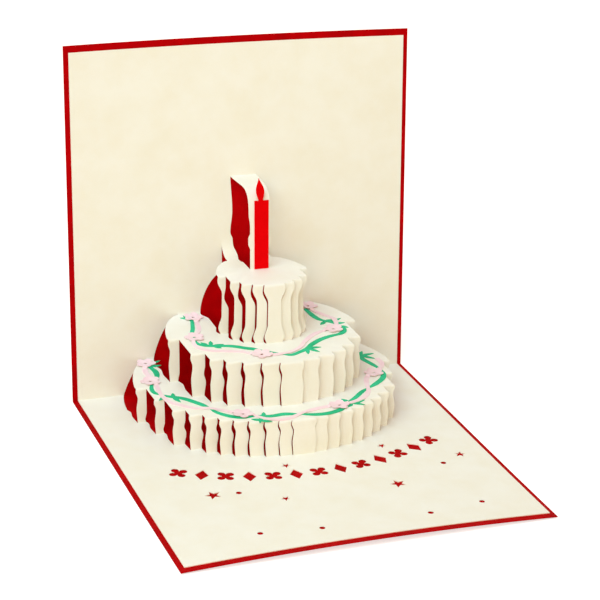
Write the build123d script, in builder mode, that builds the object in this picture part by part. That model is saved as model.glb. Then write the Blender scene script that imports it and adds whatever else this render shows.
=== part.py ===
"""Pop up card: a red folded cover lined with one cream sheet that is cut and folded into a three tier cake.

Millimetres. X runs across the card, the base panel lies on Z = 0 and the back panel stands at the rear.
A place on the folded sheet is given by its distance across, its depth in front of the card's fold and
its height measured along the back panel, because every upright strip is parallel to the back panel and
every cake top is parallel to the base panel.
"""
import math
import os

from build123d import *

# Cover and lining sheet
card_width = 150.8
card_panel = 150.0
opening_angle = 96.0
cover_thickness = 0.5
sheet_thickness = 0.3
side_border = 2.1
end_border = 2.8
sheet_offset = 0.1

# Cake: all tiers share one middle line. Strips run from the outermost to the middle one: distance of the cut on
# a strip's outer side from the middle line, then depth of the strip in front of the fold.
cake_offset = 1.0
shoulder_power = 1.6
slot_width = 0.2

lower_rise = 14.7
lower_half_hinge = 44.0
lower_neck = 0.0
lower_strips = ((56.3, 27.8), (52.2, 40.0), (48.2, 51.8), (43.0, 57.7), (37.8, 62.0), (32.8, 65.5), (27.6, 68.1),
                (22.0, 70.1), (15.8, 71.7), (10.1, 72.7), (4.8, 73.3))

middle_rise = 18.2
middle_half_hinge = 30.0
middle_neck = 0.0
middle_strips = ((41.2, 24.6), (36.8, 41.1), (31.0, 48.3), (25.6, 52.8), (19.2, 55.9), (12.0, 57.9), (4.6, 59.2))

upper_rise = 24.9
upper_half_hinge = 9.8
upper_neck = 7.6
upper_strips = ((18.9, 24.0), (15.9, 31.2), (12.4, 35.1), (8.2, 37.2), (3.7, 38.4))

# Waved cuts: share of the tier's rise, then how far the cut swings towards the middle line
low_swing = ((0.0, 0.0), (0.4, -0.42), (0.72, 0.18), (0.92, -0.65), (1.12, -0.1))
tall_swing = ((0.0, 0.0), (0.1, -0.75), (0.32, 0.65), (0.7, 0.8), (0.92, -1.05), (1.12, -0.35))

# Candle upright and strap, cut from the same sheet, and the paper candle glued to the upright
upright_depth = 19.7
upright_rise = 33.7
upright_edge = ((0.0, 4.0), (0.25, 4.0), (0.32, 4.8), (0.4, 4.8), (0.46, 4.0), (0.53, 4.0), (0.72, 4.65),
                (1.0, 4.7), (1.6, 5.65))
window_edge = ((0.53, 4.0), (0.7, 4.85), (0.77, 4.9), (0.86, 5.9), (1.15, 4.95), (1.6, 5.65))
candle_width = 6.2
candle_height = 29.2
candle_offset = 0.9
candle_lift = 0.1
candle_thickness = 0.3
flame_height = 9.6
flame_half_width = 1.5
flame_half_neck = 0.9
flame_sway = 0.85

# Pierced pattern on the base panel. Stars and dots: across, then depth in front of the fold.
arc_radius = 110.0
arc_front = 89.5
arc_count = 13
arc_half_angle = 29.3
blossom_size = 4.0
lozenge_width = 5.6
lozenge_length = 8.6
star_point = 0.42
large_star = 3.6
medium_star = 2.6
small_star = 2.1
dot_size = 1.15
large_stars = ((-45.6, 97.1), (27.0, 108.4))
medium_stars = ((61.9, 90.9),)
small_stars = ((-9.8, 81.0), (-19.9, 107.8), (34.1, 74.9))
dots = ((-35.5, 98.1), (52.0, 96.3), (28.5, 135.7), (-15.7, 135.5), (51.9, 132.0), (-39.1, 132.3))

# Garlands of thin paper on the two wider cake tops. Lines and flowers: angle around the cake in degrees, then
# distance from its centre. Leaves: across and depth where a leaf starts, then across and depth of its tip.
garland_thickness = 0.2
garland_centre = 17.5
garland_apart = 4.0
lower_pink = ((8, 52.4), (13, 53.4), (19, 52.4), (25, 49.5), (30, 47.2), (38, 48.0), (48, 52.0), (55, 53.1),
              (62, 52.4), (69, 50.8), (75, 48.8), (82, 48.7), (88, 50.0), (96, 53.6), (101, 54.2), (106, 53.6),
              (112, 50.5), (118, 49.6), (129, 48.7), (134, 49.6), (139, 52.0), (145, 53.0), (151, 53.8),
              (158, 52.3), (168, 48.8), (175, 47.8), (187, 48.3), (196, 47.4))
lower_green = ((3, 46.0), (8, 46.2), (15, 49.2), (22, 52.6), (29, 53.7), (37, 52.1), (47.6, 49.7), (57, 50.4),
               (64, 51.4), (70, 53.9), (77, 54.4), (83, 53.4), (90, 50.9), (97, 49.5), (104, 50.9), (110, 50.9),
               (116, 53.0), (122, 53.0), (129, 51.1), (135, 48.2), (143, 47.1), (150, 47.6), (157, 50.8),
               (162, 52.8), (166, 52.2), (171, 49.8), (178, 45.2), (185, 44.1), (191, 45.4), (195, 47.0))
lower_flowers = ((25.2, 49.5), (68.8, 50.9), (116.4, 50.0), (174.4, 49.2), (196, 47.4))
lower_leaves = ((-44.2, 5.6, -37.6, 2.6), (-43.8, 7.6, -38.6, 7.4), (-45.8, 37.3, -49.9, 40.9),
                (-43.4, 39.4, -42.4, 35.6), (-43.6, 39.4, -41.8, 44.8), (-14.0, 66.4, -12.6, 62.8),
                (-14.6, 66.2, -17.6, 72.0), (-16.2, 69.4, -19.6, 67.6), (-16.6, 69.8, -12.2, 71.8),
                (24.4, 63.2, 29.8, 67.2), (25.6, 64.6, 31.6, 62.8), (25.4, 64.4, 22.2, 67.4),
                (24.4, 62.8, 22.4, 59.4), (46.9, 19.8, 52.3, 25.0), (47.2, 20.2, 53.8, 19.3),
                (46.9, 20.0, 49.8, 15.8))
upper_pink = ((-25, 30.6), (-21, 29.6), (-14.6, 29.2), (-8.5, 29.9), (-3, 31.1), (4, 33.1), (14, 33.5), (21, 32.8),
              (27, 30.2), (35, 26.6), (48, 25.1), (62, 26.3), (72, 29.1), (80, 31.0), (87, 32.2), (95, 32.9),
              (107, 32.5), (115, 31.8), (122, 31.0), (133, 32.9), (143, 35.9), (151, 36.8), (158, 35.2),
              (166, 31.3), (171, 28.8), (178, 26.5), (186, 25.5), (198, 25.8), (208, 27.6))
upper_green = ((-22, 27.3), (-13, 26.3), (-3, 26.1), (5, 27.1), (9, 29.0), (14, 32.4), (20, 35.4), (27, 36.6),
               (33, 35.5), (37, 33.3), (43.5, 31.1), (52, 29.9), (63, 30.4), (71, 32.2), (79, 33.5), (87, 34.6),
               (94, 32.0), (100, 30.3), (107, 28.8), (113, 27.2), (120, 26.9), (128, 26.7), (136, 27.6),
               (143, 30.2), (150, 33.0), (156, 34.0), (163, 32.6), (174, 30.3), (184, 28.2), (198, 27.6),
               (206, 28.6))
upper_flowers = ((-25, 30.6), (25.6, 32.1), (106.7, 32.5), (165.8, 31.5), (208, 27.6))
upper_leaves = ((-24.8, 5.2, -28.8, 3.2), (-24.8, 5.0, -27.0, 1.4), (-25.4, 34.6, -24.2, 30.0),
                (-25.2, 35.0, -19.8, 34.6), (-24.6, 35.6, -22.0, 38.2), (-26.6, 34.2, -28.6, 30.4),
                (12.4, 47.2, 18.0, 47.8), (12.2, 47.6, 15.6, 52.4), (11.8, 47.8, 10.2, 53.2),
                (29.8, 22.2, 33.4, 21.6), (29.8, 22.6, 26.2, 25.6), (31.4, 24.0, 37.6, 20.9),
                (32.6, 25.8, 37.4, 25.9), (34.0, 28.8, 36.8, 31.4))
pink_ribbon = 2.2
green_ribbon = 2.4
flower_size = 4.3
flower_hollow = 0.62
flower_eye = 0.7
leaf_width = 1.8

# Derived values
lean = math.radians(180.0 - opening_angle)
rise_y = math.cos(lean)
rise_z = math.sin(lean)
sheet_step = sheet_thickness / rise_z
cover_step = cover_thickness / rise_z
candle_step = candle_thickness / rise_z
fold_y = (card_panel - card_panel * rise_y - sheet_step - cover_step) / 2
floor = cover_thickness + sheet_thickness
sheet_panel = card_panel - end_border
sheet_half = card_width / 2 - side_border
lower_top = lower_rise
middle_top = lower_top + middle_rise
upper_top = middle_top + upper_rise
strap_top = upper_top + upright_rise
up = Vector(0, rise_y, rise_z)


def wall_plane(depth):
    """Plane of an upright strip: first axis across the card, second axis height along the back panel."""
    return Plane(origin=(0, fold_y - depth, floor), x_dir=(1, 0, 0), z_dir=(0, -rise_z, rise_y))


def top_plane(height):
    """Plane of a level panel: first axis across the card, second axis is minus the depth."""
    return Plane(origin=(0, fold_y + height * rise_y, floor + height * rise_z), x_dir=(1, 0, 0), z_dir=(0, 0, 1))


def eased(table, share):
    """Value of a table at a share, passing smoothly from each entry to the next."""
    for (s0, v0), (s1, v1) in zip(table, table[1:]):
        if share <= s1:
            t = max(0.0, (share - s0) / (s1 - s0))
            return v0 + (v1 - v0) * (1 - math.cos(math.pi * t)) / 2
    return table[-1][1]


def steps(first, last, longest):
    """Evenly spaced values from first to last, no further apart than longest."""
    count = max(1, math.ceil(abs(last - first) / longest))
    return [first + (last - first) * k / count for k in range(count + 1)]


def marks(table):
    """Shares of a table where its curve turns, with two places between each pair that round the turns."""
    places = [share for share, value in table]
    early = [0.73 * a + 0.27 * b for a, b in zip(places, places[1:])]
    late = [0.27 * a + 0.73 * b for a, b in zip(places, places[1:])]
    return places + early + late


class Tier:
    """One tier: its cuts, given by their distance from the middle line, and the depth of each strip."""

    def __init__(self, bottom, rise, strips, half_hinge, neck, swing):
        self.bottom = bottom
        self.rise = rise
        self.top = bottom + rise
        self.cuts = [cut for cut, depth in strips]
        self.depths = [depth for cut, depth in strips]
        self.half_hinge = half_hinge
        self.neck = neck
        self.swing = swing

    def shoulder(self, depth):
        """Half width of the round top behind its outermost strips."""
        wide = self.cuts[0] - eased(self.swing, 1.0)
        share = min(1.0, max(0.0, (depth - self.neck) / (self.depths[0] - self.neck)))
        bow = (1 - (1 - share) ** shoulder_power) ** (1 / shoulder_power)
        return self.half_hinge + (wide - self.half_hinge) * bow

    def cut(self, index, flat):
        """Distance of a cut from the middle line at a place on the flat sheet, height minus depth."""
        share = (flat + self.depths[index] - self.bottom) / self.rise
        if index == 0 and share > 1:
            return self.shoulder(self.top - flat)
        return self.cuts[index] - eased(self.swing, share)

    def strip(self, index):
        """Outline of a strip on its own plane, on the right of the middle line."""
        outer = [(x - slot_width / 2, s) for x, s in self.edge(index, self.depths[index])]
        if index == len(self.depths) - 1:
            inner = [(-x, s) for x, s in outer]
        else:
            inner = [(x + slot_width / 2, s) for x, s in self.edge(index + 1, self.depths[index])]
        return outer + inner[::-1]

    def edge(self, index, depth):
        """A cut as the edge of the strip at a depth, from its foot to under the round top."""
        first, last = self.bottom, self.top - sheet_step
        shift = depth - self.depths[index] + self.bottom
        turns = [shift + share * self.rise for share in marks(self.swing)]
        levels = sorted([first, last] + [s for s in turns if first + 0.3 < s < last - 0.3])
        return [(self.cut(index, s - depth), s) for s in levels]

    def foot(self):
        """Right half of the opening that the strips leave in the level panel under them."""
        edge = [(self.cut(0, self.bottom), -2 * sheet_step)]
        start = 0.0
        for index, depth in enumerate(self.depths):
            last = depth - sheet_step
            turns = [depth - share * self.rise for share in marks(self.swing)]
            if index == 0:
                turns = turns + steps(start, max(start, depth - self.rise), 2.5)
            for d in sorted([start, last] + [d for d in turns if start + 0.3 < d < last - 0.3]):
                edge.append((self.cut(index, self.bottom - d), d))
            start = last
        return edge

    def wall(self):
        """Right half of the opening that the tier leaves in the back panel."""
        return [(self.cut(0, s), s) for s in steps(self.bottom, self.top, 2.0)]

    def cover(self):
        """Right half of the round top, from the back panel to the middle of the front."""
        edge = [(self.half_hinge, -sheet_step)]
        for d in steps(0.0, self.depths[0], 2.0):
            edge.append((self.shoulder(d), d))
        for index in range(1, len(self.depths)):
            for depth in (self.depths[index - 1], self.depths[index]):
                edge.append((self.cut(index, self.top - depth), depth))
        return edge


def level(points):
    """Closed outline on a level panel from its right half."""
    right = [(cake_offset + x, -d) for x, d in points]
    left = [(cake_offset - x, -d) for x, d in reversed(points)]
    return right + left


def upright(points):
    """Closed outline on an upright panel from its right half."""
    right = [(cake_offset + x, s) for x, s in points]
    left = [(cake_offset - x, s) for x, s in reversed(points)]
    return right + left


def upright_half(flat):
    """Half width of the candle upright at a place on the flat sheet."""
    return eased(upright_edge, (flat + upright_depth - upper_top) / upright_rise)


def window_half(flat):
    """Half width of the opening that the upright leaves in the back panel."""
    return eased(window_edge, (flat + upright_depth - upper_top) / upright_rise)


def star(x, depth, size, turn):
    """Five pointed star on the base panel."""
    outline = []
    for k in range(10):
        reach = size if k % 2 == 0 else size * star_point
        angle = math.radians(90 + turn + 36 * k)
        outline.append((x + reach * math.cos(angle), -depth + reach * math.sin(angle)))
    return outline


def petals(x, y, size, count, turn, hollow):
    """Round petalled outline around a point."""
    outline = []
    for k in range(4 * count):
        angle = 2 * math.pi * k / (4 * count)
        reach = size * (hollow + (1 - hollow) * abs(math.cos(count * angle / 2)) ** 0.7)
        outline.append((x + reach * math.cos(angle + turn), y + reach * math.sin(angle + turn)))
    return outline


def leaf(x, depth, tip_x, tip_depth):
    """Pointed leaf from a point to its tip."""
    outline = []
    for side in (1, -1):
        for k in range(4):
            share = k / 4 if side > 0 else 1 - k / 4
            half = side * leaf_width / 2 * math.sin(math.pi * share ** 0.8)
            length = math.hypot(tip_x - x, tip_depth - depth)
            outline.append((x + share * (tip_x - x) + half * (tip_depth - depth) / length,
                            -depth - share * (tip_depth - depth) + half * (tip_x - x) / length))
    return outline


def smooth(table, key):
    """Smooth line through a table of keys and values: a cubic whose slopes come from the neighbours."""
    last = len(table) - 1
    key = min(max(key, table[0][0]), table[-1][0])
    k = max(i for i in range(last) if table[i][0] <= key)
    run = table[k + 1][0] - table[k][0]
    t = (key - table[k][0]) / run
    slopes = []
    for i in (k, k + 1):
        before = table[max(i - 1, 0)]
        after = table[min(i + 1, last)]
        slopes.append((after[1] - before[1]) / (after[0] - before[0]))
    return ((1 + 2 * t) * (1 - t) ** 2 * table[k][1] + t * (1 - t) ** 2 * run * slopes[0]
            + t ** 2 * (3 - 2 * t) * table[k + 1][1] + t ** 2 * (t - 1) * run * slopes[1])


def around(angle, reach):
    """Point on a cake top at an angle around the cake and a distance from its centre."""
    a = math.radians(angle)
    return cake_offset + reach * math.cos(a), -garland_centre - reach * math.sin(a)


def ribbon(line, other, width, thinnest, step):
    """Closed outline of a ribbon that thins where it crosses the other one."""
    inner = []
    outer = []
    for angle in steps(line[0][0], line[-1][0], step):
        reach = smooth(line, angle)
        apart = min(1.0, abs(reach - smooth(other, angle)) / garland_apart)
        half = width / 2 * (thinnest + (1 - thinnest) * apart)
        outer.append(around(angle, reach + half))
        inner.append(around(angle, reach - half))
    return outer + inner[::-1]


lower = Tier(0.0, lower_rise, lower_strips, lower_half_hinge, lower_neck, low_swing)
middle = Tier(lower_top, middle_rise, middle_strips, middle_half_hinge, middle_neck, low_swing)
upper = Tier(middle_top, upper_rise, upper_strips, upper_half_hinge, upper_neck, tall_swing)

os.makedirs("parts", exist_ok=True)

# Red cover: one card, folded once with a rounded spine
inner_y = fold_y + sheet_step * (1 - rise_y)
top_y = fold_y + sheet_step + card_panel * rise_y
top_z = floor + card_panel * rise_z
spine = lean / 2
with BuildPart() as cover_card:
    with BuildSketch(Plane.YZ):
        with BuildLine():
            Polyline((inner_y, 0), (fold_y - card_panel, 0), (fold_y - card_panel, cover_thickness),
                     (inner_y, cover_thickness), (top_y, top_z), (top_y + cover_step, top_z),
                     (inner_y + cover_thickness * rise_z, cover_thickness - cover_thickness * rise_y))
            ThreePointArc((inner_y + cover_thickness * rise_z, cover_thickness - cover_thickness * rise_y),
                          (inner_y + cover_thickness * math.sin(spine),
                           cover_thickness - cover_thickness * math.cos(spine)),
                          (inner_y, 0))
        make_face()
    extrude(amount=card_width / 2, both=True)

# Cream sheet: the upright panels first, then the level ones, all from one sheet
with BuildPart() as cake_sheet:
    with BuildSketch(wall_plane(0)):
        with Locations((sheet_offset, sheet_panel / 2)):
            Rectangle(2 * sheet_half, sheet_panel)
        for tier in (lower, middle, upper):
            Polygon(*upright(tier.wall()), align=None, mode=Mode.SUBTRACT)
        window = [(window_half(s), s) for s in steps(upper_top, strap_top, 1.5)]
        Polygon(*upright(window), align=None, mode=Mode.SUBTRACT)
    for tier in (lower, middle, upper):
        for index in range(len(tier.depths) - 1):
            with BuildSketch(wall_plane(tier.depths[index])):
                Polygon(*[(cake_offset + x, s) for x, s in tier.strip(index)], align=None)
                Polygon(*[(cake_offset - x, s) for x, s in tier.strip(index)], align=None)
        with BuildSketch(wall_plane(tier.depths[-1])):
            Polygon(*[(cake_offset + x, s) for x, s in tier.strip(len(tier.depths) - 1)], align=None)
    with BuildSketch(wall_plane(upright_depth)):
        stem = [(upright_half(s - upright_depth), s) for s in steps(upper_top, strap_top - sheet_step, 1.5)]
        Polygon(*upright(stem), align=None)
    extrude(amount=sheet_step, dir=(0, 1, 0))

    with BuildSketch(top_plane(0)):
        with Locations((sheet_offset, (sheet_step - sheet_panel) / 2)):
            Rectangle(2 * sheet_half, sheet_panel + sheet_step)
        Polygon(*level(lower.foot()), align=None, mode=Mode.SUBTRACT)
        for k in range(arc_count):
            turn = math.radians(arc_half_angle * (2 * k / (arc_count - 1) - 1))
            x = cake_offset + arc_radius * math.sin(turn)
            y = arc_radius - arc_front - arc_radius * math.cos(turn)
            if k % 2 == 0:
                Polygon(*petals(x, y, blossom_size, 4, turn + math.pi / 4, 0.4), align=None, mode=Mode.SUBTRACT)
            else:
                with Locations(Location((x, y), math.degrees(turn))):
                    Polygon((lozenge_width / 2, 0), (0, lozenge_length / 2), (-lozenge_width / 2, 0),
                            (0, -lozenge_length / 2), align=None, mode=Mode.SUBTRACT)
        for places, size, turn in ((large_stars, large_star, 12), (medium_stars, medium_star, -20),
                                   (small_stars, small_star, 25)):
            for x, depth in places:
                Polygon(*star(x, depth, size, turn), align=None, mode=Mode.SUBTRACT)
        with Locations(*[(x, -depth) for x, depth in dots]):
            RegularPolygon(dot_size, 12, mode=Mode.SUBTRACT)
    with BuildSketch(top_plane(lower_top)):
        Polygon(*level(lower.cover()), align=None)
        Polygon(*level(middle.foot()), align=None, mode=Mode.SUBTRACT)
    with BuildSketch(top_plane(middle_top)):
        Polygon(*level(middle.cover()), align=None)
        Polygon(*level(upper.foot()), align=None, mode=Mode.SUBTRACT)
    with BuildSketch(top_plane(upper_top)):
        Polygon(*level(upper.cover()), align=None)
        slot = [(upright_half(upper_top - d), d) for d in steps(-2 * sheet_step, upright_depth - sheet_step, 1.5)]
        Polygon(*level(slot), align=None, mode=Mode.SUBTRACT)
    with BuildSketch(top_plane(strap_top)):
        strap = [(upright_half(strap_top - d), d) for d in steps(-sheet_step, upright_depth, 2.0)]
        Polygon(*level(strap), align=None)
    extrude(amount=sheet_step, dir=up * -1)

# Red paper candle, glued flat on the front of its upright
candle_x = cake_offset + candle_offset
foot_s = upper_top + candle_lift
neck_s = foot_s + candle_height
with BuildPart() as candle:
    with BuildSketch(wall_plane(upright_depth + candle_step)):
        with Locations((candle_x, foot_s + candle_height / 2)):
            Rectangle(candle_width, candle_height)
        flame = []
        for side in (1, -1):
            for k in range(11):
                share = k / 10 if side > 0 else 1 - k / 10
                half = flame_half_neck * (1 - share) ** 2
                half = half + flame_half_width * math.sin(math.pi * share ** 0.9) ** 1.3
                flame.append((candle_x - 0.4 - flame_sway * share ** 1.5 + side * half,
                              neck_s - 0.05 + flame_height * share))
        Polygon(*flame[:10], *flame[11:], align=None)
    extrude(amount=candle_step, dir=(0, 1, 0))

# Garlands: on each top the green ribbon lies on the cake and the pink one, with flowers, on the green
with BuildPart() as lower_green_garland:
    with BuildSketch(top_plane(lower_top)):
        Polygon(*ribbon(lower_green, lower_pink, green_ribbon, 0.35, 4.5), align=None)
        for place in lower_leaves:
            Polygon(*leaf(*place), align=None)
    extrude(amount=garland_thickness)

with BuildPart() as lower_pink_garland:
    with BuildSketch(top_plane(lower_top + garland_thickness / rise_z)):
        Polygon(*ribbon(lower_pink, lower_green, pink_ribbon, 0.8, 4.5), align=None)
        for angle, reach in lower_flowers:
            Polygon(*petals(*around(angle, reach), flower_size, 5, math.radians(angle), flower_hollow), align=None)
            with Locations(around(angle, reach)):
                RegularPolygon(flower_eye, 8, mode=Mode.SUBTRACT)
    extrude(amount=garland_thickness)

with BuildPart() as upper_green_garland:
    with BuildSketch(top_plane(middle_top)):
        Polygon(*ribbon(upper_green, upper_pink, green_ribbon, 0.35, 5.0), align=None)
        for place in upper_leaves:
            Polygon(*leaf(*place), align=None)
    extrude(amount=garland_thickness)

with BuildPart() as upper_pink_garland:
    with BuildSketch(top_plane(middle_top + garland_thickness / rise_z)):
        Polygon(*ribbon(upper_pink, upper_green, pink_ribbon, 0.8, 5.0), align=None)
        for angle, reach in upper_flowers:
            Polygon(*petals(*around(angle, reach), flower_size, 5, math.radians(angle), flower_hollow), align=None)
            with Locations(around(angle, reach)):
                RegularPolygon(flower_eye, 8, mode=Mode.SUBTRACT)
    extrude(amount=garland_thickness)

cover_card.part.label = "cover_card"
export_step(cover_card.part, "parts/cover_card.step")
cake_sheet.part.label = "cake_sheet"
export_step(cake_sheet.part, "parts/cake_sheet.step")
candle.part.label = "candle"
export_step(candle.part, "parts/candle.step")
lower_green_garland.part.label = "lower_green_garland"
export_step(lower_green_garland.part, "parts/lower_green_garland.step")
lower_pink_garland.part.label = "lower_pink_garland"
export_step(lower_pink_garland.part, "parts/lower_pink_garland.step")
upper_green_garland.part.label = "upper_green_garland"
export_step(upper_green_garland.part, "parts/upper_green_garland.step")
upper_pink_garland.part.label = "upper_pink_garland"
export_step(upper_pink_garland.part, "parts/upper_pink_garland.step")
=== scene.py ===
# %% [markdown]
# # A pop up card with a paper cake
# The card is a red cover lined with one cream sheet. The sheet is only cut and folded, and when the
# card opens, its strips stand up as three rings of a cake. This lesson rebuilds it from its flat
# pattern: each panel is worked out on the flat sheet with numpy and then folded up by one function,
# which is how the real card is made and why every edge meets its neighbour.
#
# The imported CAD model comes first. It is the fixed frame.

# %% Load the frame
import math
import bmesh
import bpy
import numpy as np
from mathutils import Matrix
from mathutils.geometry import delaunay_2d_cdt


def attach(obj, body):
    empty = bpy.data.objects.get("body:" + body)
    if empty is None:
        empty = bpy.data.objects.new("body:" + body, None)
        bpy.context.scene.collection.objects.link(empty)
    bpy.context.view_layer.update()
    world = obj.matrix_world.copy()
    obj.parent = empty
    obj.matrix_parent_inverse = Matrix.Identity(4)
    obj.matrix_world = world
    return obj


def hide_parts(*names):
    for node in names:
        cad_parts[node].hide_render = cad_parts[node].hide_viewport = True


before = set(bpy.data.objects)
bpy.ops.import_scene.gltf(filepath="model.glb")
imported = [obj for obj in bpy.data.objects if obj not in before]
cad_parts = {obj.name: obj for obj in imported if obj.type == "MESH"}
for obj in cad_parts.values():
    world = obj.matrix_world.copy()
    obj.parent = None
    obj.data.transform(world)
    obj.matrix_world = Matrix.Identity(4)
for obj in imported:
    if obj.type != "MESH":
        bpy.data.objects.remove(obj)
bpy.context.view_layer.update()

# %% [markdown]
# ## Camera
# The camera could be placed by eye, but six corners of the card fix it fully: the two panels are of one
# size and almost square. Its place, its three turns and its lens come from that fit. A camera in Blender
# looks along its own minus Z, so the columns of its matrix are its right, its up and its back.

# %% Camera
def camera_axes(azimuth, elevation, roll):
    """Columns right, up and back: back points from the card to the lens, and roll turns right towards up."""
    a, e, r = np.radians([azimuth, elevation, roll])
    back = np.array([np.sin(a) * np.cos(e), -np.cos(a) * np.cos(e), np.sin(e)])
    right = np.array([np.cos(a), np.sin(a), 0.0])
    up = np.cross(back, right)
    return np.column_stack([np.cos(r) * right + np.sin(r) * up, np.cos(r) * up - np.sin(r) * right, back])


camera_place, camera_turns = (-0.26721, -0.66395, 0.35276), (-21.822, 21.899, 2.655)
lens = bpy.data.cameras.new("camera")
lens.sensor_width, lens.lens, lens.clip_start = 36.0, 117.77, 0.01
camera = bpy.data.objects.new("camera", lens)
axes = Matrix(camera_axes(*camera_turns).tolist()).to_4x4()
camera.matrix_world = Matrix.Translation(camera_place) @ axes
bpy.context.scene.collection.objects.link(camera)
bpy.context.scene.camera = camera
print("camera at", tuple(round(v, 3) for v in camera.matrix_world.translation))

# %% [markdown]
# ## Colour and nodes
# A colour picked on a screen is an sRGB value, while Blender's shaders count light, which is linear. One
# function turns the first into the second. One more adds a node with its settings and links, so that each
# material below reads as a short list.

# %% Colour and node helpers
def paint(code):
    """sRGB hex to linear: low values divide by 12.92, the others follow the 2.4 power."""
    c = np.array([int(code[k:k + 2], 16) for k in (1, 3, 5)]) / 255.0
    c = np.where(c <= 0.04045, c / 12.92, ((c + 0.055) / 1.055) ** 2.4)
    return (*c.tolist(), 1.0)


def add_node(tree, kind, settings, links=()):
    """Adds a node. Settings are properties or input values by name, links are pairs of input and socket."""
    node = tree.nodes.new(kind)
    for name, value in settings.items():
        if isinstance(name, str) and hasattr(node, name):
            setattr(node, name, value)
        else:
            node.inputs[name].default_value = value
    for name, socket in links:
        tree.links.new(socket, node.inputs[name])
    return node


print("half grey on a screen is", round(paint("#808080")[0], 3), "of white's light")

# %% [markdown]
# ## Paper and card
# All five materials are paper, and paper shows two things to the eye: a soft cloud in its colour where the
# pulp lies thicker, and a grain that breaks up the gloss. The cream sheet is a pearl coated stock, so it has
# a weak clear coat. The cover is a dyed satin card. The candle and the garlands are thin dyed paper with no
# coat. The grain of such paper is about 0.1 mm, too fine to show at this distance, so it is drawn at 0.5 mm.

# %% Paper materials
grain_mm = 0.5


def paper(name, pale, deep, cloud_mm, rough, bump_mm, shine, coat=0.0):
    """Cloudy colour from pale to deep, grain in the roughness and a fine bump, all on Object coordinates."""
    material = bpy.data.materials.new(name)
    material.use_nodes = True
    tree = material.node_tree
    shader = tree.nodes["Principled BSDF"]
    place = add_node(tree, "ShaderNodeTexCoord", {})
    cloud = add_node(tree, "ShaderNodeTexNoise", {"Scale": 1000.0 / cloud_mm, "Detail": 3.0, "Roughness": 0.6},
                     [("Vector", place.outputs["Object"])])
    grain = add_node(tree, "ShaderNodeTexNoise", {"Scale": 1000.0 / grain_mm, "Detail": 2.0, "Roughness": 0.7},
                     [("Vector", place.outputs["Object"])])
    share = add_node(tree, "ShaderNodeMath", {"operation": "MULTIPLY_ADD", 1: 0.35},
                     [(0, grain.outputs["Fac"]), (2, cloud.outputs["Fac"])])
    tone = add_node(tree, "ShaderNodeValToRGB", {}, [("Fac", share.outputs["Value"])])
    tone.color_ramp.elements[0].position = 0.5
    tone.color_ramp.elements[0].color = paint(pale)
    tone.color_ramp.elements[1].position = 0.88
    tone.color_ramp.elements[1].color = paint(deep)
    gloss = add_node(tree, "ShaderNodeMapRange", {"To Min": rough - 0.08, "To Max": rough + 0.08},
                     [("Value", grain.outputs["Fac"])])
    bump = add_node(tree, "ShaderNodeBump", {"Strength": 0.6, "Distance": bump_mm / 1000.0},
                    [("Height", grain.outputs["Fac"])])
    tree.links.new(tone.outputs["Color"], shader.inputs["Base Color"])
    tree.links.new(gloss.outputs["Result"], shader.inputs["Roughness"])
    tree.links.new(bump.outputs["Normal"], shader.inputs["Normal"])
    shader.inputs["IOR"].default_value = 1.5
    shader.inputs["Specular IOR Level"].default_value = shine
    shader.inputs["Coat Weight"].default_value = coat
    shader.inputs["Coat Roughness"].default_value = 0.35
    return material


pearl_paper = paper("pearl_coated_cream_paper", "#F7F6EE", "#F4F1E4", cloud_mm=14.0, rough=0.50,
                    bump_mm=0.020, shine=0.40, coat=0.10)
satin_card = paper("satin_dyed_red_card", "#BC0006", "#A60004", cloud_mm=9.0, rough=0.50,
                   bump_mm=0.030, shine=0.02)
candle_paper = paper("dyed_bright_red_paper", "#EC0008", "#E00006", cloud_mm=6.0, rough=0.60,
                     bump_mm=0.020, shine=0.02)
leaf_paper = paper("dyed_green_paper", "#2BCB95", "#14B47C", cloud_mm=6.0, rough=0.60,
                   bump_mm=0.020, shine=0.20)
petal_paper = paper("dyed_pink_paper", "#FDE6EC", "#FBDAE3", cloud_mm=6.0, rough=0.60,
                    bump_mm=0.020, shine=0.20)
print("materials", [m.name for m in (pearl_paper, satin_card, candle_paper, leaf_paper, petal_paper)])

# %% [markdown]
# ## The fold
# Every strip of the cake is parallel to the back panel and every cake top is parallel to the base. So a
# place on the folded sheet needs three numbers: how far across the card it is, how deep in front of the
# fold, and how high along the back panel. The card opens to 96 degrees, so height leans back a little.
# The back panel of the real card also bows back at its free top edge, by a few millimetres in the middle,
# and the free front edge of the base lifts off the table in the same way.

# %% Fold the sheet up
opening_angle = 96.0
lean = math.radians(180.0 - opening_angle)
rise_y, rise_z = math.cos(lean), math.sin(lean)
card_width, card_panel = 150.8, 150.0
sheet_thick, cover_thick = 0.3, 0.5
sheet_step = sheet_thick / rise_z
fold_y = (card_panel - card_panel * rise_y - sheet_step - cover_thick / rise_z) / 2
floor_z = cover_thick + sheet_thick
top_bow, bow_power, bow_reach = 2.8, 2.5, 20.0
front_lift, corner_lift, lift_start = 2.0, 0.4, 80.0


def from_sides(across):
    """Share that is 1 on the middle line and falls with the square of the distance to 0 at the sides."""
    return 1.0 - (across / (card_width / 2)) ** 2


def bow(across, depth, height):
    """Backward bow in mm: a power of the height, less towards the sides and in front of the panel."""
    up = np.clip(height / card_panel, 0.0, 1.0) ** bow_power
    return top_bow * up * from_sides(across) * np.clip(1.0 - depth / bow_reach, 0.0, 1.0)


def lift(across, depth):
    """Upward lift of the base in mm: the square of the way to its front edge, less towards the sides."""
    way = np.clip((depth - lift_start) / (card_panel - lift_start), 0.0, 1.0) ** 2
    return way * (corner_lift + front_lift * from_sides(across))


def fold_up(places):
    """Across, depth, height in mm to x, y, z: y is the fold's y minus the depth plus the height's lean."""
    across, depth, height = places.T
    y = fold_y - depth + height * rise_y + bow(across, depth, height)
    return np.column_stack([across, y, floor_z + height * rise_z + lift(across, depth)])


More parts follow.
